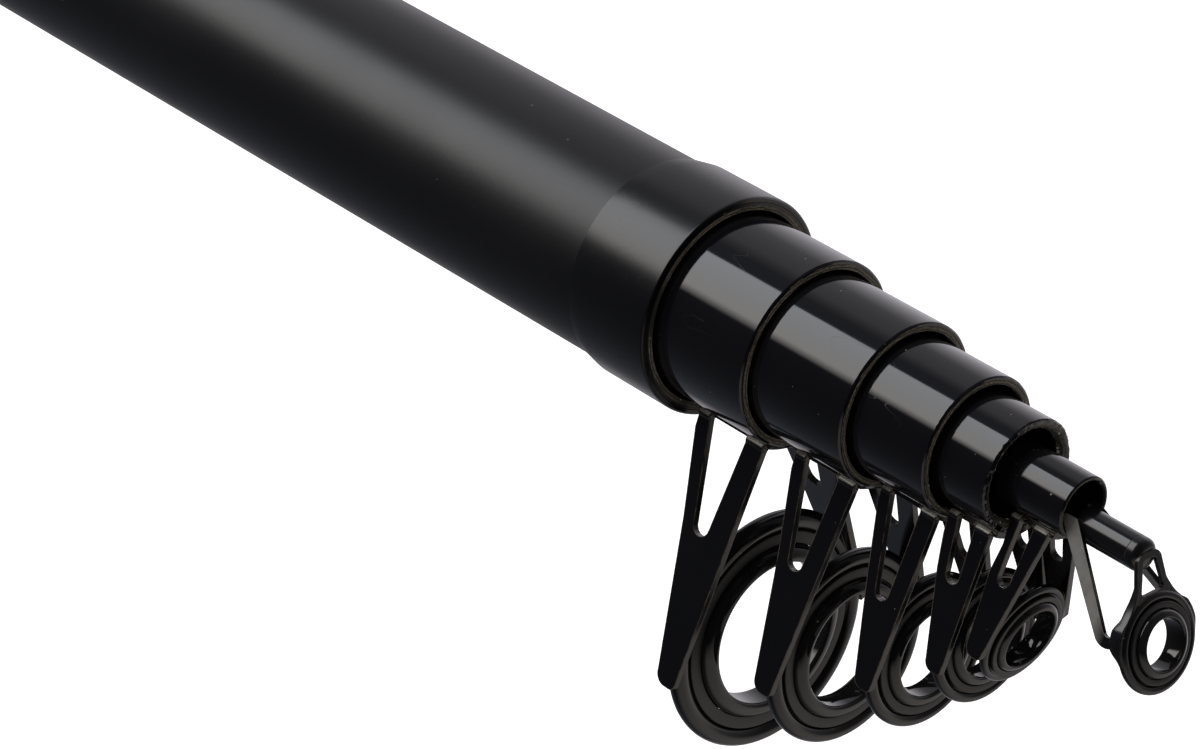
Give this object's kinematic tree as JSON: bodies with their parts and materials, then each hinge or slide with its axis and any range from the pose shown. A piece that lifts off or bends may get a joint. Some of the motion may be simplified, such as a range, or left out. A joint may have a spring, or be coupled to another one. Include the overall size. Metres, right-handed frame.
{
  "type": "telescopic fishing rod",
  "caption": "Telescopic fishing rod, closed: nested black tube sections with a stamped ring guide under each mouth, a tip guide, a screw-lock reel seat and a butt cap.",
  "frame": {"origin": "centre of the butt's end face, on the cap's rubber pad", "axes": "+X along the rod towards its tip, -Z the way the ring guides hang, +Y to the left of someone looking along the rod from butt to tip"},
  "size_m": [0.71, 0.0334, 0.065],
  "materials": {
    "butt_black": "satin black lacquer over glass fibre",
    "section_black": "deep gloss black lacquer over glass fibre",
    "guide_black": "gloss black coating on stamped steel",
    "tip_black": "semi-gloss black coating on stamped steel",
    "shock_black": "soft black cushion ring",
    "insert_ceramic": "polished dark ceramic",
    "seat_black": "fine matte moulded black",
    "nut_black": "black anodised, turned",
    "trim_black": "gloss black resin",
    "cap_black": "matte moulded black",
    "pad_rubber": "matte black rubber",
    "cushion_foam": "closed-cell grey foam",
    "bush_metal": "turned"
  },
  "bodies": {
    "butt": {"butt_blank": "butt_black", "mouth_collar": "butt_black", "thread_bush": "bush_metal", "reel_seat_barrel": "seat_black", "fixed_hood": "seat_black", "seat_trim_rings": "trim_black"},
    "hood": {"sliding_hood": "seat_black"},
    "nut": {"lock_nut": "nut_black"},
    "cap": {"butt_cap": "cap_black", "cap_pad": "pad_rubber", "inner_cushion": "cushion_foam"},
    "section_2": {"section_2_blank": "section_black", "guide_2_frame": "guide_black", "guide_2_shock_ring": "shock_black", "guide_2_insert": "insert_ceramic"},
    "section_3": {"section_3_blank": "section_black", "guide_3_frame": "guide_black", "guide_3_shock_ring": "shock_black", "guide_3_insert": "insert_ceramic"},
    "section_4": {"section_4_blank": "section_black", "guide_4_frame": "guide_black", "guide_4_shock_ring": "shock_black", "guide_4_insert": "insert_ceramic"},
    "section_5": {"section_5_blank": "section_black", "guide_5_frame": "guide_black", "guide_5_shock_ring": "shock_black", "guide_5_insert": "insert_ceramic"},
    "section_6": {"section_6_blank": "section_black", "guide_6_frame": "guide_black", "guide_6_shock_ring": "shock_black", "guide_6_insert": "insert_ceramic"},
    "tip": {"tip_blank": "section_black", "tip_tube": "tip_black", "tip_frame": "tip_black", "tip_shock_ring": "shock_black", "tip_insert": "insert_ceramic"}
  },
  "joints": [
    {"name": "hood_slide", "type": "slide", "parent": "butt", "child": "hood", "axis": [1, 0, 0], "range_m": [0, 0.02]},
    {"name": "nut_turn", "type": "hinge", "parent": "hood", "child": "nut", "pos_m": [0.2475, 0, 0], "axis": [1, 0, 0], "range_deg": [0, 2880]},
    {"name": "cap_unscrew", "type": "slide", "parent": "butt", "child": "cap", "axis": [-1, 0, 0], "range_m": [0, 0.03]},
    {"name": "section_2_slide", "type": "slide", "parent": "butt", "child": "section_2", "axis": [1, 0, 0], "range_m": [0, 0.5536]},
    {"name": "section_3_slide", "type": "slide", "parent": "section_2", "child": "section_3", "axis": [1, 0, 0], "range_m": [0, 0.5741]},
    {"name": "section_4_slide", "type": "slide", "parent": "section_3", "child": "section_4", "axis": [1, 0, 0], "range_m": [0, 0.5927]},
    {"name": "section_5_slide", "type": "slide", "parent": "section_4", "child": "section_5", "axis": [1, 0, 0], "range_m": [0, 0.6086]},
    {"name": "section_6_slide", "type": "slide", "parent": "section_5", "child": "section_6", "axis": [1, 0, 0], "range_m": [0, 0.6202]},
    {"name": "tip_slide", "type": "slide", "parent": "section_6", "child": "tip", "axis": [1, 0, 0], "range_m": [0, 0.6325]}
  ],
  "couplings": [
    {"joint": "hood_slide", "follows": "nut_turn", "m_per_rad": 0.00039789}
  ]
}
